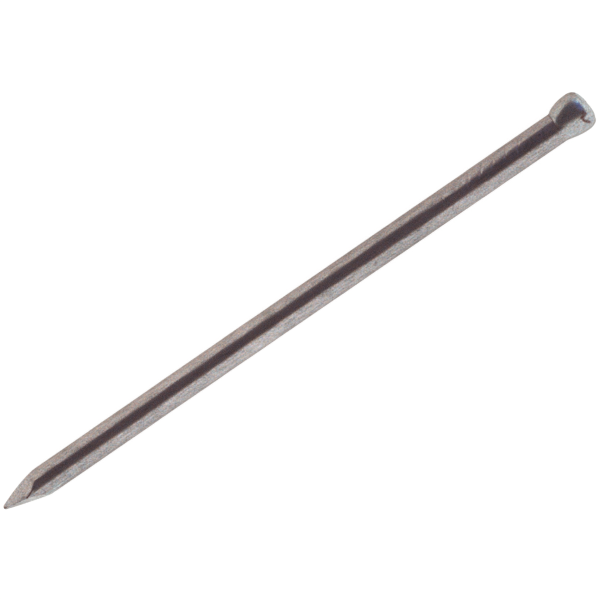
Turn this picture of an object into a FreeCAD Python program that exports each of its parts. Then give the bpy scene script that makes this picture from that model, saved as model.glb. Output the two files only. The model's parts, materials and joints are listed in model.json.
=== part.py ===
"""Round lost-head nail, drawn and pressed from one length of steel wire.

The nail lies along X with its head towards +X and its point towards -X. The origin is on the
wire's axis at the neck, where the plain round wire ends. All sizes are in millimetres and degrees.

A nail machine makes it in three strokes: gripping dies hold the wire and leave their teeth marks
on it, a punch upsets the end into the head, and two pairs of cutters pinch off the point.
"""
import FreeCAD, Part
import math
import os

from FreeCAD import Vector

# The wire
wire_diameter = 2.8
nail_length = 65.0          # from the crown of the head to the end of the point

# The head, pressed a little to one side of the wire
head_diameter = 3.7
head_length = 3.44          # from the neck to the crown
head_offset = 0.15          # the head's axis stands this far to +Y of the wire's axis
widest_from_neck = 2.31
barrel_sweep_length = 2.49  # the barrel swells along a quarter of an ellipse of this half length
barrel_sweep_height = 1.11  # and of this half height
neck_flare_radius = 5.0     # the hollow flare of the wire into the barrel, seen on the -Y side
crown_radius = 5.5
crown_lean = 0.35           # the punch's hollow stands this far to -Y of the head's axis
rim_radius = 0.8

# The teeth marks of the two gripping dies, along the wire below the neck
mark_count = 9
mark_pitch = 1.32
mark_depth = 0.06
mark_tooth_radius = 0.25
mark_first_from_neck = 1.3
mark_facing = 57.0          # the first die bites this far round from +Y towards +Z

# The point's two facets from the first pair of cutters
first_pair_facing = 64.0    # one facet faces this far round from +Y towards +Z, the other away
first_pair_length = 4.55    # from the blunt end to the wire's full width
first_pair_gap = 0.17       # what the pair leaves between its edges at the end
first_pair_bow = 0.025      # how far the middle of a facet stands out from a straight cut

# The two facets from the second pair, which closes a little off the wire's axis
second_pair_facing = 163.0
second_pair_length = 5.41
second_pair_gap = 0.32
second_pair_bow = 0.036
second_pair_offset = 0.027

wire_radius = wire_diameter / 2
head_radius = head_diameter / 2
tip_x = head_length - nail_length
along = Vector(1, 0, 0)
up = Vector(0, 0, 1)


def solid_of_revolution(edges):
    """Turn a closed half outline in the XY plane about the X axis."""
    face = Part.Face(Part.Wire(Part.__sortEdges__(edges)))
    return face.revolve(Vector(0, 0, 0), along, 360)


def drawn_wire():
    """The round wire from the end of the point to the neck, then its flare inside the head."""
    flare_centre = Vector(0, wire_radius + neck_flare_radius, 0)
    inside_head = widest_from_neck / 2
    half_turn = math.asin(inside_head / neck_flare_radius) / 2

    def on_flare(turn):
        return flare_centre + Vector(math.sin(turn), -math.cos(turn), 0) * neck_flare_radius

    neck = Vector(0, wire_radius, 0)
    flare_end = on_flare(2 * half_turn)
    back = Vector(tip_x, wire_radius, 0)
    outline = [
        Part.makeLine(Vector(tip_x, 0, 0), back),
        Part.makeLine(back, neck),
        Part.Arc(neck, on_flare(half_turn), flare_end).toShape(),
        Part.makeLine(flare_end, Vector(inside_head, 0, 0)),
        Part.makeLine(Vector(inside_head, 0, 0), Vector(tip_x, 0, 0)),
    ]
    return solid_of_revolution(outline)


def head_barrel():
    """The swelling sides of the head, a quarter ellipse turned round the head's own axis."""
    centre = Vector(widest_from_neck, head_radius - barrel_sweep_height, 0)
    start = centre - along * barrel_sweep_length
    widest = Vector(widest_from_neck, head_radius, 0)
    beyond_crown = head_length + head_radius
    sweep = Part.ArcOfEllipse(Part.Ellipse(start, widest, centre), 0, math.pi / 2)
    outline = [
        Part.makeLine(Vector(start.x, 0, 0), start),
        sweep.toShape(),
        Part.makeLine(widest, Vector(beyond_crown, head_radius, 0)),
        Part.makeLine(Vector(beyond_crown, head_radius, 0), Vector(beyond_crown, 0, 0)),
        Part.makeLine(Vector(beyond_crown, 0, 0), Vector(start.x, 0, 0)),
    ]
    return solid_of_revolution(outline)


def pressed_head():
    """The barrel closed by the punch's shallow hollow, with a rounded rim."""
    crown_centre_x = head_length - crown_radius
    punch_hollow = Part.makeSphere(crown_radius)
    punch_hollow.rotate(Vector(0, 0, 0), up, 180)
    punch_hollow.translate(Vector(crown_centre_x, -crown_lean, 0))
    head = head_barrel().common(punch_hollow)

    # The rim's round ends before the barrel's sweep, on +Y, where the crown comes lowest.
    low_rim_x = crown_centre_x + math.sqrt(crown_radius ** 2 - (head_radius + crown_lean) ** 2)
    straight_wall = low_rim_x - widest_from_neck
    rim = [edge for edge in head.Edges if edge.BoundBox.XMin > widest_from_neck + straight_wall / 2]
    head = head.makeFillet(min(rim_radius, 1.25 * straight_wall), rim)
    head.translate(Vector(0, head_offset, 0))
    return head


def point_cutter(facing, length, end_height, bow):
    """One cutter's block, which takes away all that stands above one bowed facet."""
    end = Vector(tip_x, end_height, 0)
    full = Vector(tip_x + length, wire_radius, 0)
    slope = full - end
    outward = Vector(-slope.y, slope.x, 0).normalize()
    facet = Part.Arc(end, (end + full) * 0.5 + outward * bow, full)
    run_on = facet.LastParameter + 0.25 * (facet.LastParameter - facet.FirstParameter)
    facet.setParameterRange(facet.FirstParameter, run_on)
    block_top = 2 * wire_radius
    block_front = tip_x - wire_radius
    corners = [
        facet.EndPoint,
        Vector(facet.EndPoint.x, block_top, 0),
        Vector(block_front, block_top, 0),
        Vector(block_front, end_height, 0),
        end,
    ]
    edges = [facet.toShape()]
    edges += [Part.makeLine(a, b) for a, b in zip(corners, corners[1:])]
    outline = Part.Face(Part.Wire(Part.__sortEdges__(edges)))
    outline.translate(up * -block_top)
    block = outline.extrude(up * 2 * block_top)
    block.rotate(Vector(0, 0, 0), along, facing)
    return block


def point_cutters():
    first = (first_pair_length, first_pair_gap / 2, first_pair_bow)
    second_near = second_pair_gap / 2 + second_pair_offset
    second_far = second_pair_gap / 2 - second_pair_offset
    return [
        point_cutter(first_pair_facing, *first),
        point_cutter(first_pair_facing + 180, *first),
        point_cutter(second_pair_facing, second_pair_length, second_near, second_pair_bow),
        point_cutter(second_pair_facing + 180, second_pair_length, second_far, second_pair_bow),
    ]


def gripper_teeth():
    """The rows of round-topped teeth that the two gripping dies press into the wire."""
    teeth = []
    reach = wire_radius - mark_depth + mark_tooth_radius
    for facing in (mark_facing, mark_facing + 180):
        for number in range(mark_count):
            x = -mark_first_from_neck - number * mark_pitch
            tooth = Part.makeCylinder(
                mark_tooth_radius, 2 * wire_radius, Vector(x, reach, -wire_radius), up)
            tooth.rotate(Vector(0, 0, 0), along, facing)
            teeth.append(tooth)
    return teeth


def nail():
    body = drawn_wire().fuse(pressed_head())
    body = body.cut(point_cutters())
    return body.cut(gripper_teeth()).removeSplitter()


os.makedirs("parts", exist_ok=True)
nail().exportStep("parts/nail.step")
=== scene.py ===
import json
import math

import bpy
import numpy as np
from mathutils import Matrix, Vector


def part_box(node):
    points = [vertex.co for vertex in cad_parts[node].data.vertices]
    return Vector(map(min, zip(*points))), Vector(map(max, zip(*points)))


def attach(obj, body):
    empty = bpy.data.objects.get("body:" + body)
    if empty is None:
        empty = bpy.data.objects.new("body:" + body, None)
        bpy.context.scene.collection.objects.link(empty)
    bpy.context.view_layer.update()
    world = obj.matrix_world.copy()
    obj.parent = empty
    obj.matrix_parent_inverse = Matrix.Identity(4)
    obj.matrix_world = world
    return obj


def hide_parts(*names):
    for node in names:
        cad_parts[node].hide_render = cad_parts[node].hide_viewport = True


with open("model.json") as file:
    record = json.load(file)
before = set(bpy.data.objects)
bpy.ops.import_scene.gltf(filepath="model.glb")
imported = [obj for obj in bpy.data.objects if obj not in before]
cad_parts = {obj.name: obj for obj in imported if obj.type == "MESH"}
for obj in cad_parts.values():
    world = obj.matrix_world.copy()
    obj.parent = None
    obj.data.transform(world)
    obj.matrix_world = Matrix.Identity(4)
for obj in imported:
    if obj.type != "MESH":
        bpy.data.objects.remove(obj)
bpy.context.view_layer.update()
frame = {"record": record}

# ---------------------------------------------------------------------------
# Camera
# It looks down on the nail from a little towards the head, so the crown just shows, and it is
# turned so that the nail climbs from its point at the lower left to its head at the upper right.
# ---------------------------------------------------------------------------
millimetre = 0.001
nail_low, nail_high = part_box("nail")

camera_distance = 191.4 * millimetre
camera_lens = 127.3
camera_sensor = 36
camera_lean = math.radians(9.0)
nail_climb = math.radians(34.5)
aim_ahead_of_middle = 1.487 * millimetre
aim_beside_axis = 0.32 * millimetre

aim = Vector(((nail_low.x + nail_high.x) / 2 + aim_ahead_of_middle, aim_beside_axis, 0))
towards_camera = Vector((math.sin(camera_lean), 0, math.cos(camera_lean)))
along_nail = Vector((math.cos(camera_lean), 0, -math.sin(camera_lean)))
across_nail = Vector((0, 1, 0))
picture_right = math.cos(nail_climb) * along_nail - math.sin(nail_climb) * across_nail
picture_up = math.sin(nail_climb) * along_nail + math.cos(nail_climb) * across_nail
facing_nail = Matrix((picture_right, picture_up, towards_camera)).transposed().to_4x4()

camera = bpy.data.objects.new("camera", bpy.data.cameras.new("camera"))
camera.data.lens = camera_lens
camera.data.sensor_width = camera_sensor
camera.data.clip_start = 10 * millimetre
camera.data.clip_end = 5000 * millimetre
camera.matrix_world = Matrix.Translation(aim + towards_camera * camera_distance) @ facing_nail
bpy.context.scene.collection.objects.link(camera)
bpy.context.scene.camera = camera

# ---------------------------------------------------------------------------
# The nail
# One length of bright drawn steel wire. Two dies grip it, a punch upsets one end into the barrel
# head with its domed crown, and two pairs of cutters pinch off the other end into the point.
# ---------------------------------------------------------------------------

# All its sizes are in millimetres. x runs along the wire from the point to the head, with 0 at the
# neck, and a turn goes round the wire from +Y towards +Z, which is up.
wire_radius = frame["record"]["mounts"][0]["dims"]["r_mm"]
tip_x = nail_low.x / millimetre
crown_x = nail_high.x / millimetre
head_radius = nail_high.z / millimetre
head_offset = nail_high.y / millimetre - head_radius
widest_x = 2.31

# Its skin is rows of vertices round the wire, from the point to the widest part of the head,
# and then rays that fan out from there over the rim and the crown. The rows stand closer together
# on the point, where the dies gripped the wire, and on the head.
columns = 144
end_rows = (0.001, 0.004, 0.010, 0.018, 0.030, 0.045, 0.065, 0.09)
point_rows_from = 0.12      # from the end of the point, as the end rows are
point_rows_to = 6.0
point_row_gap = 0.045
plain_row_gap = 0.28
gripped_from_x = -13.2
gripped_to_x = -0.5
gripped_row_gap = 0.09
head_rows = 90

angle = 2 * math.pi * np.arange(columns) / columns
rows_x = np.concatenate([
    tip_x + np.array(end_rows),
    np.arange(tip_x + point_rows_from, tip_x + point_rows_to, point_row_gap),
    np.arange(tip_x + point_rows_to, gripped_from_x, plain_row_gap),
    np.arange(gripped_from_x, gripped_to_x, gripped_row_gap),
    np.linspace(gripped_to_x, widest_x, head_rows),
])
x, turn = np.meshgrid(rows_x, angle, indexing="ij")


def ease(value, start, end):
    """0 before start, 1 after end, and smooth between."""
    share = np.clip((value - start) / (end - start), 0, 1)
    return share * share * (3 - 2 * share)


def bump(value, half_width, power=2):
    """1 at nought, falling off on both sides to almost nothing at twice the half width."""
    return np.exp(-((value / half_width) ** power))


def smooth_min(a, b, width):
    """The lesser of two surfaces, with the corner between them rounded over a width."""
    share = np.clip(0.5 + 0.5 * (b - a) / width, 0, 1)
    return b + (a - b) * share - width * share * (1 - share)


def smooth_max(a, b, width):
    return -smooth_min(-a, -b, width)


def turned_from(turn, facing):
    """How far round a direction lies from another, between minus and plus half a turn."""
    return (turn - facing + math.pi) % (2 * math.pi) - math.pi


def circle_reach(radius, centre_y, turn):
    """How far a circle round y = centre_y lies from the origin, at each angle."""
    return centre_y * np.cos(turn) + np.sqrt(radius**2 - (centre_y * np.sin(turn)) ** 2)


# The drawn wire. The die leaves it round but for slow swells. It is a hair thicker than its size
# away from the grip, and it bends a little aside at its point end.
overgauge = 0.013
end_bend = 0.036
overgauge_starts = 8.0      # these four are distances from the neck towards the point
overgauge_in_full = 14.0
end_bend_starts = 36.0
end_bend_in_full = 60.0
aside_from_x = -1.0         # from here the wire is pressed aside towards the head's axis
long_swells = (3, 9.0, 0.004)       # the seed, the longest wave and its height
short_swells = (4, 1.6, 0.0015)
swell_waves = 24
swell_shortest_share = 0.2
swell_most_lobes = 7


def waviness(x, turn, seed, longest, height):
    """Slow hollows and swells: slanting waves added up, the same on every run."""
    random = np.random.default_rng(seed)
    total = 0
    for _ in range(swell_waves):
        length = longest * random.uniform(swell_shortest_share, 1.0)
        lobes = random.integers(-swell_most_lobes, swell_most_lobes + 1)
        start = random.uniform(0, 2 * math.pi)
        total = total + np.sin(2 * math.pi * x / length + lobes * turn + start)
    return total * height / math.sqrt(swell_waves)


axis_y = head_offset * ease(x, aside_from_x, widest_x)
bent_aside = end_bend * ease(-x, end_bend_starts, end_bend_in_full)
wire = wire_radius + overgauge * ease(-x, overgauge_starts, overgauge_in_full)
wire = circle_reach(wire, -axis_y, turn)
wire += waviness(x, turn, *long_swells) + waviness(x, turn, *short_swells)

# Two long slight flats run along the top of the wire, one on each side of its middle, from the
# drawing die and from the dies' grip. Each has the way it faces, and then how far it turns the
# surface, in radians, at each x.
flat_spread = 0.25
flats = (
    (math.radians(68), (
        (-57.5, 0.108), (-56.6, 0.125), (-55.4, 0.062), (-53.4, 0.094), (-51.0, 0.054),
        (-48.5, 0.073), (-46.0, 0.024), (-43.5, 0.046), (-41.0, -0.009), (-38.5, 0.049),
        (-36.0, -0.021), (-33.5, 0.047), (-31.0, 0.017), (-28.5, 0.014), (-26.0, 0.013),
        (-23.5, 0.027), (-21.0, -0.016), (-18.5, 0.022), (-16.0, 0.022), (-14.2, 0.025),
        (-12.6, 0.106), (-11.0, 0.17), (-9.4, 0.148), (-8.8, 0.083), (-7.4, 0.076),
        (-6.0, 0.076), (-4.2, -0.048), (-2.4, -0.065), (-0.8, -0.164), (0.0, -0.139),
    )),
    (math.radians(102), (
        (-57.5, 0.003), (-55.5, -0.015), (-53.0, -0.011), (-50.5, -0.008), (-48.0, -0.001),
        (-45.5, 0.014), (-43.0, -0.006), (-40.5, -0.029), (-38.0, -0.007), (-35.5, -0.007),
        (-33.0, -0.063), (-30.5, -0.017), (-28.0, -0.04), (-25.5, -0.069), (-23.0, -0.031),
        (-20.5, -0.008), (-18.0, -0.005), (-15.5, 0.002), (-13.0, 0.011), (-10.5, 0.032),
        (-8.5, -0.026), (-6.5, -0.019), (-4.5, -0.029), (-2.5, -0.055), (-0.8, -0.059),
        (0.0, -0.071),
    )),
)
for flat_facing, flat_turns in flats:
    off_flat = turned_from(turn, flat_facing)
    surface_turn = np.interp(x, *zip(*flat_turns))
    wire += wire_radius * surface_turn * off_flat * bump(off_flat, flat_spread)

# The gripping dies squeeze the metal out a little where they don't meet, and press the marks of
# their teeth into two opposite sides. The teeth are worn, so no two marks are alike.
squeezed_from_x = -8.7
squeezed_step = 0.12        # the length over which the squeezed stretch begins
squeezed_facing = math.radians(166)
squeezed_out = 0.02
mark_pitch = 1.32
mark_first_x = -0.97
mark_facing = math.radians(57)
mark_half_length = 0.14
mark_half_spread = math.radians(40)
mark_end_fade = 0.35        # the radians over which each end of a mark runs out
mark_slant = -0.7           # each mark runs this far along the wire per turn of one radian
mark_depth = 0.04
mark_burr_share = 0.4       # the height of the burr beside a mark, against its depth
mark_strengths = (0.1, 0.2, 0.8, 0.55, 0.4, 0.75, 0.65, 0.3, 0.3)
mark_seed = 11
mark_wander = 0.04          # how far a mark may stand from its place in the row
mark_spread_range = (0.7, 1.1)      # each mark's three sizes are shares of those above
mark_slant_range = (0.6, 1.3)
mark_length_range = (0.7, 1.1)


def teeth_marks(x, turn):
    """How deep the teeth of both dies bite at each point. A burr stands up beside each bite."""
    depth = np.zeros_like(x)
    random = np.random.default_rng(mark_seed)
    for facing in (mark_facing, mark_facing + math.pi):
        for number, strength in enumerate(mark_strengths):
            place = mark_first_x - number * mark_pitch
            centre = place + random.uniform(-mark_wander, mark_wander)
            spread = mark_half_spread * random.uniform(*mark_spread_range)
            slant = mark_slant * random.uniform(*mark_slant_range)
            half_length = mark_half_length * random.uniform(*mark_length_range)
            off = turned_from(turn, facing)
            across = (x - centre - slant * off) / half_length
            bite = np.exp(-(across**2)) - mark_burr_share * np.exp(-((across - 1.5) ** 2) / 0.5)
            depth += mark_depth * strength * bite * ease(spread - np.abs(off), 0, mark_end_fade)
    return depth


between_dies = np.cos(turned_from(turn, squeezed_facing)) ** 4
wire += squeezed_out * between_dies * ease(x, squeezed_from_x - squeezed_step, squeezed_from_x)
bitten = teeth_marks(x, turn)
wire -= bitten

# The point: each facet faces one way, and has half the blunt end's thickness there, the length
# from the end to where it meets the wire's full radius, and a bow out of a straight cut. The
# cutter on -Y is a little hollow, so its facet is made of two.
facets = (
    (math.radians(64), 0.085, 4.15, 0.0),
    (math.radians(155), 0.153, 4.22, 0.0),
    (math.radians(174.6), 0.182, 4.46, 0.03),
    (math.radians(244), 0.085, 4.55, 0.025),
    (math.radians(2.6), 0.162, 4.29, 0.111),
)
ridge_round = 0.03
shoulder_round = 0.12       # the first facet's upper end is rubbed rounder than the other edges
shoulder_facing = math.radians(66)
shoulder_spread = math.radians(16)
tip_round = 0.16

from_tip = x - tip_x
facet_runs_on = 1.5         # a facet is carried on to this many of its lengths
out_of_reach = 10 * wire_radius
point = np.full_like(x, out_of_reach)
cuts = []
for facing, blunt, length, bow in facets:
    run = np.minimum(from_tip / length, facet_runs_on)
    thickness = blunt + (wire_radius - blunt) * run + 4 * bow * run * (1 - run)
    facing_cosine = np.cos(turn - facing)
    faced = facing_cosine > 0.05
    cut = np.where(faced, thickness / np.where(faced, facing_cosine, 1), out_of_reach)
    cuts.append(cut)
    point = smooth_min(point, cut, ridge_round)
nose = np.clip(1 - from_tip / tip_round, 0, 1)
point *= np.sqrt(1 - nose**2)

# The cutters push up a burr along the first facet's edge, where the last of the round wire runs
# out between two facets. It rises between the first two turns and ends between the other two.
burr_height = 0.035
burr_half_width = 0.105
burr_turns = [math.radians(degrees) for degrees in (92, 98, 106, 112)]
burr_from_tip = (1.6, 2.0)
burr = bump(cuts[0] - wire, burr_half_width)
burr *= ease(turn, burr_turns[0], burr_turns[1]) * ease(-turn, -burr_turns[3], -burr_turns[2])
burr *= ease(from_tip, *burr_from_tip)

rubbed = bump(turned_from(turn, shoulder_facing), shoulder_spread)
edge_round = ridge_round + (shoulder_round - ridge_round) * rubbed
wire_and_point = smooth_min(wire, point, edge_round) + burr_height * burr

# The head: a barrel that swells along an ellipse, pressed a little oval and to one side. The wire
# flares softly into it on -Y, and meets it sharply on +Y.
sweep_length = 2.52
sweep_over_top = 0.19       # the barrel begins this much earlier on its top and underside
sweep_height = 1.28
sweep_fullness = 2.22       # 2 would be an ellipse, and more is fuller
oval_once = -0.018
oval_twice = 0.06
oval_thrice = 0.025
oval_from_x = 0.2
oval_in_full_x = 1.7
neck_round_high = 0.05      # high is on +Y, and low is on -Y
neck_round_low = 0.355


def ovalness(turn):
    oval = oval_twice * np.sin(2 * turn) + oval_thrice * np.sin(3 * turn)
    return 1 + oval + oval_once * np.cos(turn)


sweep_run = np.clip((widest_x - x) / (sweep_length + sweep_over_top * np.sin(turn) ** 2), 0, 1)
swell = (1 - sweep_run**sweep_fullness) ** (1 / sweep_fullness)
barrel_radius = head_radius - sweep_height + sweep_height * swell
pressed_oval = 1 + (ovalness(turn) - 1) * ease(x, oval_from_x, oval_in_full_x)
barrel = circle_reach(barrel_radius * pressed_oval, head_offset - axis_y, turn)
high_side = ease(np.cos(turn), -0.5, 0.2)
neck_round = neck_round_low + (neck_round_high - neck_round_low) * high_side
near_head = x > widest_x - sweep_length
radius = np.where(near_head, smooth_max(wire_and_point, barrel, neck_round), wire_and_point)

# The rim and the crown close the head, along rays from its widest part. The rim is a quarter
# ellipse, long on both sides and taller on +Y, and the crown is the shallow dome that the punch
# leaves, a little to -Y.
rim_length_high = 1.005
rim_height_high = 0.99
rim_length_low = 0.98
rim_height_low = 0.585
rim_edge = 0.06
crown_beyond = 0.085        # the dome would stand this far beyond the head's length
crown_radius = 4.1
crown_lean = 0.275
rim_tilts = np.linspace(0, 0.9, 46)
crown_tilts = np.linspace(0.9, math.pi / 2, 16)

tilts = np.concatenate([rim_tilts, crown_tilts[1:]])[:-1]
tilt, head_turn = np.meshgrid(tilts, angle, indexing="ij")
ray = np.stack(
    [np.sin(tilt), np.cos(tilt) * np.cos(head_turn), np.cos(tilt) * np.sin(head_turn)], -1)


def rim_reach(length, height):
    """How far the rim's quarter ellipse lies from the middle of the head, at each tilt."""
    round_turn = np.linspace(0, math.pi / 2, 60)
    ahead = length * np.sin(round_turn)
    out = head_radius - height + height * np.cos(round_turn)
    tilt_there = np.append(np.arctan2(ahead, out), math.pi / 2)
    return np.interp(tilt, tilt_there, np.append(np.hypot(ahead, out), length))


high_share = 0.5 + 0.5 * np.cos(head_turn)
to_rim = rim_reach(rim_length_low, rim_height_low) * (1 - high_share)
to_rim += rim_reach(rim_length_high, rim_height_high) * high_share
to_rim *= 1 + (ovalness(head_turn) - 1) * np.cos(tilt)
from_crown = np.array([widest_x - (crown_x + crown_beyond - crown_radius), crown_lean, 0])
toward = ray @ from_crown
to_crown = -toward + np.sqrt(toward**2 - from_crown @ from_crown + crown_radius**2)
reach = smooth_min(to_rim, to_crown, rim_edge)

# A chip in the rim, where the punch struck over the edge: a small wedge that opens on the crown.
# Its edge lies at these places along x for these turns.
nick_turns = np.radians([104, 110.5, 112, 113, 115, 118, 124, 131, 139, 147])
nick_edge = [3.1, 2.90, 2.83, 2.62, 2.45, 2.31, 2.38, 2.49, 2.62, 3.1]
nick_depth = 0.12
nick_wall = (-0.02, 0.07)   # the depth comes in between these distances past the edge
nick_fades = (0.75, 1.15)   # the chip runs out over the crown between these tilts of the ray


def nick(x, turn):
    """How deep the chip is, from nothing to its full depth of 1."""
    past_edge = x - np.interp(turn, nick_turns, nick_edge)
    inside = ease(turn, nick_turns[0], nick_turns[1])
    inside = inside * ease(-turn, -nick_turns[-1], -nick_turns[-4])
    return ease(past_edge, *nick_wall) * inside


over_crown = ease(-tilt, -nick_fades[1], -nick_fades[0])
reach = reach - nick_depth * nick(widest_x + ray[..., 0] * reach, head_turn) * over_crown
radius = radius - nick_depth * nick(x, turn)

middle_y = axis_y - bent_aside
side_points = np.stack([x, middle_y + radius * np.cos(turn), radius * np.sin(turn)], -1)
head_points = np.array([widest_x, head_offset, 0]) + ray * reach[..., None]

# Stains, rubbed edges and painted light, as masks over the skin: brown for dirt and rust, and
# brown painted shade in the grooves of the chip in the rim and on the burr at the point; bright
# where corners rub, and bright painted highlights on the chip's wedge and beside the burr. Each
# small one is a line of (x, y) points on the upper side, with its half width and its strength.
stain_and_shade_lines = (
    # The chip in the rim: painted shade in its grooves, with some rust in them.
    (((2.74, -0.37), (2.60, -0.43), (2.33, -0.52)), 0.18, 1.0),
    (((2.35, -0.66), (2.32, -0.76), (2.43, -0.95), (2.65, -1.18)), 0.13, 1.0),
    (((2.71, -0.13), (2.56, -0.22)), 0.15, 0.9),
    (((0.19, 0.40), (0.23, 0.10)), 0.10, 0.65),
    (((2.15, -1.30), (2.85, -1.42)), 0.25, 0.10),
    (((2.97, 1.62), (2.98, 1.64)), 0.06, 0.5),
    (((2.70, 1.83), (2.71, 1.84)), 0.06, 0.5),
    (((-61.42, -0.05), (-61.29, -0.10)), 0.12, 0.65),
    # The burr beside the first facet: painted shade on its crease.
    (((-58.74, -0.47), (-58.71, -0.45)), 0.10, 0.9),
    (((-59.12, -0.20), (-58.98, -0.28)), 0.12, 0.5),
    (((-59.50, -0.28), (-59.10, -0.31)), 0.07, 0.25),
)
# Painted highlights: the bright wedge of the chip in the rim, and a bright spot beside the burr.
painted_highlight_lines = (
    (((2.64, -0.73), (2.90, -0.76)), 0.10, 1.0),
    (((-58.60, -0.52), (-58.50, -0.50)), 0.07, 0.7),
)
crease_half_width = 0.05    # the brown darkening in the crease behind the head, on its +Y side
crease_darkening = 0.75
tip_dirt_length = 0.32
tip_dirt_fade = 0.15
tip_stain = 0.15
end_stain = 0.3
mark_darkening = 0.35
facet_edge_half_width = 0.04
rim_edge_half_width = 0.06
rim_wear = 0.6


def along_lines(points, lines):
    """A mask that is strong on the lines and fades out beside them, on the nail's upper side."""
    mask = np.zeros(points.shape[:-1])
    for corners, half_width, strength in lines:
        for start, end in zip(corners, corners[1:]):
            step = np.subtract(end, start)
            share = np.clip((points[..., :2] - start) @ step / (step @ step), 0, 1)
            apart = np.linalg.norm(points[..., :2] - start - share[..., None] * step, axis=-1)
            near = strength * bump(apart, half_width, 4) * (points[..., 2] > 0)
            mask = np.maximum(mask, near)
    return mask


crease = bump(wire - barrel, crease_half_width) * near_head * ease(np.cos(turn), -0.1, 0.5)
# The burr's share is painted shade on its crease. The lines add stains, rust and painted shade.
side_stain_and_shade = crease_darkening * crease + burr + along_lines(side_points, stain_and_shade_lines)
side_stain_and_shade += tip_stain * ease(tip_dirt_length - from_tip, 0, tip_dirt_fade)
# The teeth marks are darkened brown where they bite deepest.
side_stain_and_shade += mark_darkening * ease(bitten, 0.2 * mark_depth, 0.8 * mark_depth)
# On the head the lines add stains, and the painted shade in the chip's grooves.
head_stain_and_shade = along_lines(head_points, stain_and_shade_lines)
# Rubbed edges of the facets, then painted highlights beside the burr.
side_wear_and_highlight = bump(wire - point, facet_edge_half_width) * (1 - burr)
side_wear_and_highlight += along_lines(side_points, painted_highlight_lines)
# The rubbed edge of the rim, then a painted highlight on the chip's wedge.
head_wear_and_highlight = rim_wear * bump(to_rim - to_crown, rim_edge_half_width)
head_wear_and_highlight += along_lines(head_points, painted_highlight_lines)

# Painted light and shade: the +Y side, the top and the -Y side are each painted lighter or
# darker along the nail. Each of these parts of its skin has the way it faces, the cosines of the
# turn from there at which its share starts and is in full, and how much brighter it is at each x.
painted_side_tones = (
    (math.radians(0), 0.05, 0.35, (
        (-61.5, 0.07), (-58.5, 0.03), (-57.4, 0.0), (-56.6, -0.045), (-53.3, 0.04), (-48.8, 0.07),
        (-44.2, 0.10), (-39.6, 0.137), (-35.1, 0.118), (-30.5, 0.04), (-26.0, 0.044),
        (-21.4, -0.07), (-16.8, -0.044), (-12.3, -0.06), (-7.7, 0.034), (-3.2, -0.03),
        (0.0, 0.0), (0.8, 0.07), (1.9, 0.07), (2.3, 0.0),
    )),
    (math.radians(90), 0.94, 0.97, (
        (-9.0, 0.0), (-6.5, -0.2), (-1.5, -0.2), (0.0, -0.06), (1.9, -0.1), (2.3, 0.0),
    )),
    (math.radians(180), 0.05, 0.35, (
        (-59.0, -0.10), (-57.9, -0.16), (-56.5, -0.098), (-53.3, -0.098), (-48.8, -0.03),
        (-44.2, -0.003), (-39.6, 0.045), (-35.1, 0.109), (-30.5, 0.125), (-26.0, 0.055),
        (-21.4, -0.102), (-16.8, -0.194), (-12.3, -0.065), (-7.7, -0.005), (-4.5, -0.08),
        (-1.0, -0.03), (0.5, 0.0),
    )),
)
painted_side_tone = np.zeros_like(x)
for facing, starts, in_full, tones in painted_side_tones:
    share = ease(np.cos(turned_from(turn, facing)), starts, in_full)
    painted_side_tone += np.interp(x, *zip(*tones)) * share

# The skin's vertices and faces, closed by a fan at the point and another on the crown
tip_point = [tip_x, -bent_aside[0, 0], 0]
crown_point = [widest_x + reach[-1, 0], head_offset, 0]
side_vertices = side_points.reshape(-1, 3)
head_vertices = head_points[1:].reshape(-1, 3)
vertices = np.concatenate([[tip_point], side_vertices, head_vertices, [crown_point]]) * millimetre

ring_count = len(rows_x) + len(tilts) - 1
ring_starts = 1 + np.arange(ring_count - 1)[:, None] * columns
here = np.arange(columns)
beyond = (here + 1) % columns
first = ring_starts + here
after = ring_starts + beyond
quads = np.stack([first, after, after + columns, first + columns], -1).reshape(-1, 4)
last_ring = 1 + (ring_count - 1) * columns
crown_vertex = np.full_like(here, len(vertices) - 1)
tip_fan = np.stack([np.zeros_like(here), 1 + beyond, 1 + here], -1)
crown_fan = np.stack([last_ring + here, last_ring + beyond, crown_vertex], -1)
skin = bpy.data.meshes.new("nail_skin")
skin.from_pydata(vertices.tolist(), [], tip_fan.tolist() + quads.tolist() + crown_fan.tolist())
skin.polygons.foreach_set("use_smooth", [True] * len(skin.polygons))

# The masks: each has its value at the tip, and then those on the sides and on the head.
for name, at_tip, on_sides, on_head in (
    ("stain_and_shade", end_stain, side_stain_and_shade, head_stain_and_shade),
    ("wear_and_highlight", 0, side_wear_and_highlight, head_wear_and_highlight),
    ("side_light_and_shade", 0, painted_side_tone, np.zeros_like(head_wear_and_highlight)),
):
    values = np.concatenate([[at_tip], on_sides.ravel(), on_head[1:].ravel(), [0]])
    attribute = skin.attributes.new(name, "FLOAT", "POINT")
    attribute.data.foreach_set("value", np.clip(values, -1, 1).astype(np.float32))

# The finish of each face, by the number of its material
wire_finish, point_finish, barrel_finish, crown_finish = range(4)
side_finishes = np.where(point < wire, point_finish, wire_finish)
side_finishes = np.where(near_head & (barrel > wire), barrel_finish, side_finishes)
head_finishes = np.where(to_crown < to_rim, crown_finish, barrel_finish)
finishes = np.concatenate([
    np.full(columns, point_finish),
    np.concatenate([side_finishes, head_finishes[1:]])[:-1].ravel(),
    np.full(columns, crown_finish),
])
skin.polygons.foreach_set("material_index", finishes.astype(np.int32))
skin.update()
nail = bpy.data.objects.new("nail_skin", skin)
bpy.context.scene.collection.objects.link(nail)

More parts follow.
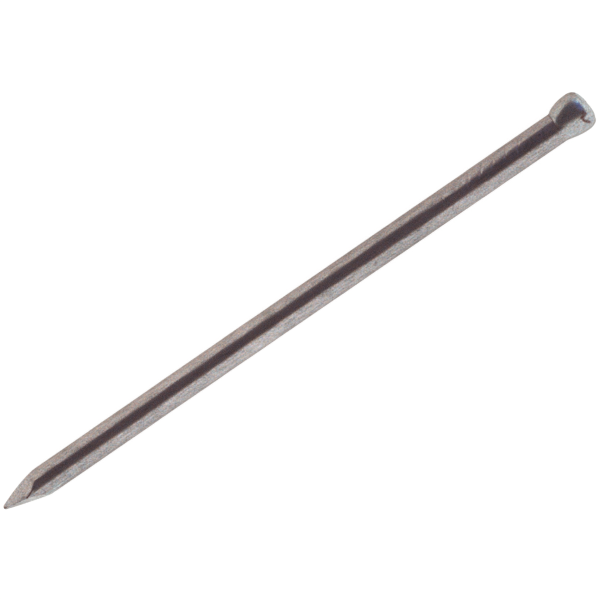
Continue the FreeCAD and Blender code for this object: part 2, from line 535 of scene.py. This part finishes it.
# The steel's grain, which all four finishes share: soft blotches, a fine mottle of warm and
# cool specks, and streaks drawn out along the wire. Brown dirt, rust and painted shade sit where
# the stain-and-shade mask is.
grain = bpy.data.node_groups.new("steel_grain", "ShaderNodeTree")
for name, kind, value in (
    ("Steel Colour", "NodeSocketColor", (0.5, 0.5, 0.5, 1)),
    ("Speck Size", "NodeSocketFloat", 0.15),
    ("Streak Length", "NodeSocketFloat", 5.0),
    ("Mottle", "NodeSocketFloat", 0.5),
    ("Roughness", "NodeSocketFloat", 0.3),
):
    socket = grain.interface.new_socket(name, in_out="INPUT", socket_type=kind)
    socket.default_value = value
for name, kind in (
    ("Colour", "NodeSocketColor"),
    ("Roughness", "NodeSocketFloat"),
    ("Height", "NodeSocketFloat"),
):
    grain.interface.new_socket(name, in_out="OUTPUT", socket_type=kind)


def node(tree, kind, inputs=None, **settings):
    """Add a node with its settings, and give each input a value or the output that feeds it."""
    made = tree.nodes.new("ShaderNode" + kind)
    for name, value in settings.items():
        setattr(made, name, value)
    for socket, value in (inputs or {}).items():
        if isinstance(value, bpy.types.NodeSocket):
            tree.links.new(value, made.inputs[socket])
        else:
            made.inputs[socket].default_value = value
    return made


def maths(tree, operation, a, b):
    return node(tree, "Math", {0: a, 1: b}, operation=operation).outputs[0]


def between(tree, value, low, high, to_low, to_high):
    """Ease from one value to another while the input goes from low to high."""
    inputs = {0: value, 1: low, 2: high, 3: to_low, 4: to_high}
    return node(tree, "MapRange", inputs, interpolation_type="SMOOTHSTEP").outputs[0]


def colour_mix(tree, share, a, b, blend_type="MIX"):
    """Mix two colours. Among a Mix node's inputs the colours are the seventh and eighth."""
    inputs = {0: share, 6: a, 7: b}
    return node(tree, "Mix", inputs, data_type="RGBA", blend_type=blend_type).outputs[2]


def noise(place, scale, detail, number=None):
    """A noise over the steel. A number picks another noise of the same kind."""
    made = node(grain, "TexNoise", {"Vector": place, "Scale": scale, "Detail": detail})
    if number is not None:
        made.noise_dimensions = "4D"
        made.inputs["W"].default_value = number
    return made.outputs[0]


def swing(value, strength):
    """A noise's swing to both sides of its middle, which is 0.5."""
    return maths(grain, "MULTIPLY", maths(grain, "SUBTRACT", value, 0.5), strength)


def mask(name):
    return node(grain, "Attribute", attribute_name=name).outputs["Fac"]


blotch_scale = 0.55
streak_scale = 5.0
patch_share = 0.65          # patches of one tint are larger than the specks
speck_strength = 1.1
streak_strength = 0.9
blotch_strength = 0.35
tint_low = 0.35             # a tint's noise goes from one tint to the other between these
tint_high = 0.65
warm_tint = (1.10, 0.982, 0.92, 1)
cool_tint = (0.905, 1.007, 1.095, 1)
purple_tint = (1.02, 0.97, 1.03, 1)
green_tint = (0.98, 1.03, 0.97, 1)
# Rubbed steel, which also paints the highlights on the chip's wedge and beside the burr.
rubbed_and_highlight_steel = (0.62, 0.59, 0.57, 1)
rubbed_and_highlight_share = 0.35
# Brown for dirt and rust, and for the painted shade in the chip's grooves and on the burr.
brown_dirt_and_shade = (0.15, 0.048, 0.040, 1)
stain_and_shade_least = 0.6            # the brown of dirt and painted shade lies thinner on some specks, down to this share
smoother_where_bright = -0.25
rougher_on_stain_and_shade = 0.3
smoother_on_wear_and_highlight = 0.05

given = grain.nodes.new("NodeGroupInput").outputs
put_out = grain.nodes.new("NodeGroupOutput").inputs
place = node(grain, "TexCoord").outputs["Object"]
place = node(grain, "VectorMath", {0: place, "Scale": 1000.0}, operation="SCALE").outputs[0]
squeeze = maths(grain, "DIVIDE", 1.0, given["Streak Length"])
squeeze = node(grain, "CombineXYZ", {"X": squeeze, "Y": 1.0, "Z": 1.0}).outputs[0]
drawn_out = node(grain, "VectorMath", {0: place, 1: squeeze}, operation="MULTIPLY").outputs[0]
per_speck = maths(grain, "DIVIDE", 1.0, given["Speck Size"])
per_patch = maths(grain, "MULTIPLY", per_speck, patch_share)
blotches = noise(place, blotch_scale, 3.0)
specks = noise(place, per_speck, 2.0)
warm_patches = noise(place, per_patch, 1.0, number=3.0)
purple_patches = noise(place, per_patch, 1.0, number=5.0)
streaks = noise(drawn_out, streak_scale, 3.0, number=7.0)

tone = maths(grain, "ADD", swing(specks, speck_strength), swing(streaks, streak_strength))
tone = maths(grain, "ADD", tone, swing(blotches, blotch_strength))
brightness = maths(grain, "ADD", 1.0, maths(grain, "MULTIPLY", tone, given["Mottle"]))
# Painted light and shade: each side is lighter or darker along the nail.
brightness = maths(grain, "ADD", brightness, mask("side_light_and_shade"))
grey = node(grain, "CombineColor", {0: brightness, 1: brightness, 2: brightness}).outputs[0]
colour = colour_mix(grain, 1.0, given["Steel Colour"], grey, "MULTIPLY")
for patches, tint, other_tint in (
    (warm_patches, warm_tint, cool_tint),
    (purple_patches, purple_tint, green_tint),
):
    share = between(grain, patches, tint_low, tint_high, 0.0, 1.0)
    colour = colour_mix(grain, 1.0, colour, colour_mix(grain, share, tint, other_tint), "MULTIPLY")
# Rubbed steel and painted highlights, where the wear-and-highlight mask is.
wear_and_highlight_mask = mask("wear_and_highlight")
worn_and_highlight = maths(grain, "MULTIPLY", wear_and_highlight_mask, rubbed_and_highlight_share)
colour = colour_mix(grain, worn_and_highlight, colour, rubbed_and_highlight_steel)
# Brown dirt and rust, and painted shade, where the stain-and-shade mask is.
stain_and_shade_on_specks = between(grain, specks, 0.35, 0.6, stain_and_shade_least, 1.0)
dirt_and_shade = maths(grain, "MULTIPLY", mask("stain_and_shade"), stain_and_shade_on_specks)
colour = colour_mix(grain, dirt_and_shade, colour, brown_dirt_and_shade)
grain.links.new(colour, put_out["Colour"])

rough = maths(grain, "MULTIPLY", tone, smoother_where_bright)
rough = maths(grain, "ADD", given["Roughness"], rough)
rough = maths(grain, "ADD", rough, maths(grain, "MULTIPLY", dirt_and_shade, rougher_on_stain_and_shade))
smoother = maths(grain, "MULTIPLY", wear_and_highlight_mask, smoother_on_wear_and_highlight)
grain.links.new(maths(grain, "SUBTRACT", rough, smoother), put_out["Roughness"])
relief = maths(grain, "ADD", maths(grain, "MULTIPLY", specks, 0.4), streaks)
grain.links.new(relief, put_out["Height"])


def steel_finish(name, colour, grazing, speck_size, streak_length, mottle, roughness, relief):
    """A finish of the same steel, by its colours seen square on and at a grazing angle."""
    material = bpy.data.materials.new(name)
    material.use_nodes = True
    tree = material.node_tree
    shader = tree.nodes["Principled BSDF"]
    pattern = tree.nodes.new("ShaderNodeGroup")
    pattern.node_tree = grain
    pattern.inputs["Steel Colour"].default_value = (*colour, 1)
    pattern.inputs["Speck Size"].default_value = speck_size
    pattern.inputs["Streak Length"].default_value = streak_length
    pattern.inputs["Mottle"].default_value = mottle
    pattern.inputs["Roughness"].default_value = roughness
    relief_inputs = {"Height": pattern.outputs["Height"], "Distance": relief * millimetre}
    relief_normal = node(tree, "Bump", relief_inputs).outputs["Normal"]
    tree.links.new(pattern.outputs["Colour"], shader.inputs["Base Color"])
    tree.links.new(pattern.outputs["Roughness"], shader.inputs["Roughness"])
    tree.links.new(relief_normal, shader.inputs["Normal"])
    shader.inputs["Metallic"].default_value = 1
    shader.inputs["Specular Tint"].default_value = (*grazing, 1)
    skin.materials.append(material)


# The four finishes, in the order of their numbers above
steel_finish(
    "drawn_wire", (0.43, 0.405, 0.40), (0.76, 0.68, 0.64),
    speck_size=0.14, streak_length=6.0, mottle=1.3, roughness=0.25, relief=0.002)
steel_finish(
    "cut_point", (0.492, 0.458, 0.44), (0.77, 0.70, 0.67),
    speck_size=0.12, streak_length=1.5, mottle=1.2, roughness=0.29, relief=0.004)
steel_finish(
    "pressed_barrel", (0.444, 0.454, 0.449), (0.76, 0.70, 0.66),
    speck_size=0.14, streak_length=2.5, mottle=1.2, roughness=0.25, relief=0.002)
# The crown is the same steel, its colour painted brighter and bluer: a painted reflection of the
# cool light beyond the head.
steel_finish(
    "punched_crown", (0.56, 0.61, 0.625), (0.80, 0.81, 0.82),
    speck_size=0.14, streak_length=1.5, mottle=1.0, roughness=0.25, relief=0.002)

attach(nail, "root")
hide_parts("nail")

# ---------------------------------------------------------------------------
# Floor
# A plain pale sheet that the nail lies on. The head is wider than the wire, so the sheet tilts
# by the small angle at which both the head and the end of the shank touch it.
# ---------------------------------------------------------------------------
floor_half = 600 * millimetre
shank_end_x = tip_x + 4.5

floor_mesh = bpy.data.meshes.new("floor")
floor_mesh.from_pydata([
    (-floor_half, -floor_half, 0), (floor_half, -floor_half, 0),
    (floor_half, floor_half, 0), (-floor_half, floor_half, 0),
], [], [(0, 1, 2, 3)])
floor = bpy.data.objects.new("floor", floor_mesh)
floor.location = (widest_x * millimetre, 0, -head_radius * millimetre)
floor.rotation_euler.y = math.atan2(head_radius - wire_radius, widest_x - shank_end_x)
bpy.context.scene.collection.objects.link(floor)

# Seen by the camera the sheet glows up to white, and in the steel it is pale. Both keep the nail's
# shadow. From below it is clear, so that the nail's underside can be seen.
pale_sheet = bpy.data.materials.new("pale_sheet")
pale_sheet.use_nodes = True
tree = pale_sheet.node_tree
sheet = tree.nodes["Principled BSDF"]
sheet.inputs["Base Color"].default_value = (0.9, 0.9, 0.9, 1)
sheet.inputs["Roughness"].default_value = 1
sheet.inputs["Specular IOR Level"].default_value = 0


def lit_sheet(paleness, glow):
    """A matt sheet with a glow of its own, which lifts it without lighting the nail."""
    matt = node(tree, "BsdfDiffuse", {"Color": (paleness, paleness, paleness, 1)}).outputs[0]
    glowing = node(tree, "Emission", {"Strength": glow}).outputs[0]
    return node(tree, "AddShader", {0: matt, 1: glowing}).outputs[0]


def instead(share, usual, other):
    return node(tree, "MixShader", {0: share, 1: usual, 2: other}).outputs[0]


path = tree.nodes.new("ShaderNodeLightPath").outputs
seen = maths(tree, "MAXIMUM", path["Is Camera Ray"], path["Is Transmission Ray"])
below = tree.nodes.new("ShaderNodeNewGeometry").outputs["Backfacing"]
clear = tree.nodes.new("ShaderNodeBsdfTransparent").outputs[0]
top = instead(path["Is Glossy Ray"], sheet.outputs[0], lit_sheet(paleness=0.75, glow=0.25))
top = instead(seen, top, lit_sheet(paleness=0.25, glow=0.83))
tree.links.new(instead(below, top, clear), tree.nodes["Material Output"].inputs["Surface"])
floor_mesh.materials.append(pale_sheet)

# ---------------------------------------------------------------------------
# Studio light
# An even white room lights the nail from all round. Flat cards stand and hang in it, which light
# nothing and show only in the steel: a dark flag overhead, and cool and warm ones round it.
# ---------------------------------------------------------------------------
room = bpy.data.worlds.new("white_room")
bpy.context.scene.world = room
room.use_nodes = True
room.node_tree.nodes["Background"].inputs["Color"].default_value = (1, 1, 1, 1)
room.node_tree.nodes["Background"].inputs["Strength"].default_value = 1.0

card_paint = (0.01, 0.01, 0.01, 1)
point_end_x = -60.0


def card(name, corners, light, light_by_head=None):
    """A flat card that only reflections see. Its light may change from the point to the head."""
    mesh = bpy.data.meshes.new(name)
    mesh.from_pydata(corners, [], [tuple(range(len(corners)))])
    mesh.transform(Matrix.Scale(millimetre, 4))
    made = bpy.data.objects.new(name, mesh)
    bpy.context.scene.collection.objects.link(made)
    paint = bpy.data.materials.new(name)
    paint.use_nodes = True
    tree = paint.node_tree
    plain = tree.nodes["Principled BSDF"]
    plain.inputs["Base Color"].default_value = card_paint
    plain.inputs["Specular IOR Level"].default_value = 0
    plain.inputs["Emission Color"].default_value = (*light, 1)
    plain.inputs["Emission Strength"].default_value = 1
    if light_by_head:
        place = node(tree, "TexCoord").outputs["Object"]
        along = node(tree, "SeparateXYZ", {0: place}).outputs["X"]
        towards_head = between(tree, along, point_end_x * millimetre, 0.0, 0.0, 1.0)
        colour = colour_mix(tree, towards_head, (*light, 1), (*light_by_head, 1))
        tree.links.new(colour, plain.inputs["Emission Color"])
    mesh.materials.append(paint)
    made.visible_camera = False
    made.visible_diffuse = False
    made.visible_shadow = False


def overhead(height, outline):
    """The corners of a card that hangs level over the nail, in millimetres."""
    return [(x, y, height) for x, y in outline]


# The dark flag gives the stripe along the nail's top. The cards behind its two edges warm the
# fringes of the stripe.
card("dark_flag", overhead(150, [
    (-335, -80), (-100, -78), (-60, -74), (-40, -84), (-20, -86), (-10, -98), (0, -108),
    (40, -120), (110, -125), (110, -45), (60, -35), (8, 0), (8, 60), (-5, 205), (-10, 250),
    (-30, 235), (-60, 205), (-110, 180), (-180, 205), (-240, 234), (-290, 215), (-335, 180),
]), (0.136, 0.095, 0.109))
card("flag_lower_edge", overhead(152, [
    (-335, -98), (-100, -96), (-60, -92), (-40, -102), (-20, -105), (-10, -118), (0, -128),
    (40, -140), (110, -145), (110, -60), (-335, -60),
]), (0.52, 0.26, 0.14))
card("flag_upper_edge", overhead(152, [
    (-335, 80), (-335, 205), (-290, 245), (-240, 262), (-180, 232), (-110, 202), (-60, 227),
    (-30, 257), (-26, 284), (60, 275), (60, 190), (-10, 150), (-60, 80),
]), (0.38, 0.22, 0.24))

# Beyond the flag's end hang violet and blue cards, and a bright cyan one. The rim mirrors them
# where it rounds over from the barrel to the crown.
card("violet_card", overhead(151, [
    (0, -60), (62, -60), (62, 125), (0, 125),
]), (0.22, 0.168, 0.235))
card("mauve_card", overhead(153, [
    (-10, 110), (75, 110), (75, 215), (-10, 215),
]), (0.33, 0.30, 0.40))
card("dusk_card", overhead(154, [
    (60, -135), (320, -190), (320, -30), (60, -30),
]), (0.29, 0.24, 0.33))
card("indigo_card", overhead(152.5, [
    (45, -65), (120, -65), (120, 95), (45, 95),
]), (0.17, 0.185, 0.40))
card("blue_card", overhead(153.5, [
    (90, -45), (275, -35), (275, 95), (90, 100),
]), (0.205, 0.24, 0.58))
card("light_blue_card", overhead(154.5, [
    (50, 90), (285, 85), (300, 215), (60, 215),
]), (0.38, 0.52, 0.88))
card("cyan_card", overhead(149, [
    (125, 108), (265, 122), (300, 190), (150, 170),
]), (1.6, 2.0, 2.2))

# Cool cards past the head light the rest of its rim. Small ones lie on the floor beside the point
# and before the crown, where the steel mirrors the floor.
card("cool_card", overhead(156, [
    (200, -260), (370, -260), (370, 420), (20, 330), (20, 200),
]), (0.80, 0.90, 0.98))
card("cool_wall", [
    (430, -300, -1.2), (430, 500, -1.2), (430, 500, 140), (430, -300, 140),
], (1.10, 1.22, 1.29))
card("light_at_point", [
    (-75, -1.65, -1.2), (-56.8, -1.65, -1.2), (-56.8, -12, -1.2), (-75, -12, -1.2),
], (1.24, 1.42, 1.46))
card("light_at_head", [
    (4.1, -5, -1.8), (12, -5, -1.8), (12, 0.5, -1.8), (4.1, 0.5, -1.8),
], (1.06, 1.14, 1.17))
card("shade_at_head", [
    (4.1, 0.8, -1.8), (12, 0.8, -1.8), (12, 7, -1.8), (4.1, 7, -1.8),
], (0.84, 0.84, 0.80))

# A warm corner of wall, ground and ceiling stands on the nail's +Y side. It dims towards the head.
card("warm_wall", [
    (-500, 430, -1.2), (300, 430, -1.2), (300, 430, 230), (-500, 430, 230),
], (0.89, 0.81, 0.75), (0.78, 0.69, 0.65))
card("warm_ground", [
    (-300, 2.3, -1.25), (100, 2.3, -1.25), (100, 430, -1.25), (-300, 430, -1.25),
], (0.89, 0.80, 0.74), (0.78, 0.68, 0.64))
card("warm_overhead", overhead(155, [
    (-420, 230), (-75, 230), (-50, 220), (-20, 300), (60, 330), (60, 440), (-420, 440),
]), (0.89, 0.81, 0.75), (0.80, 0.73, 0.70))

bpy.context.scene.view_settings.view_transform = "Standard"
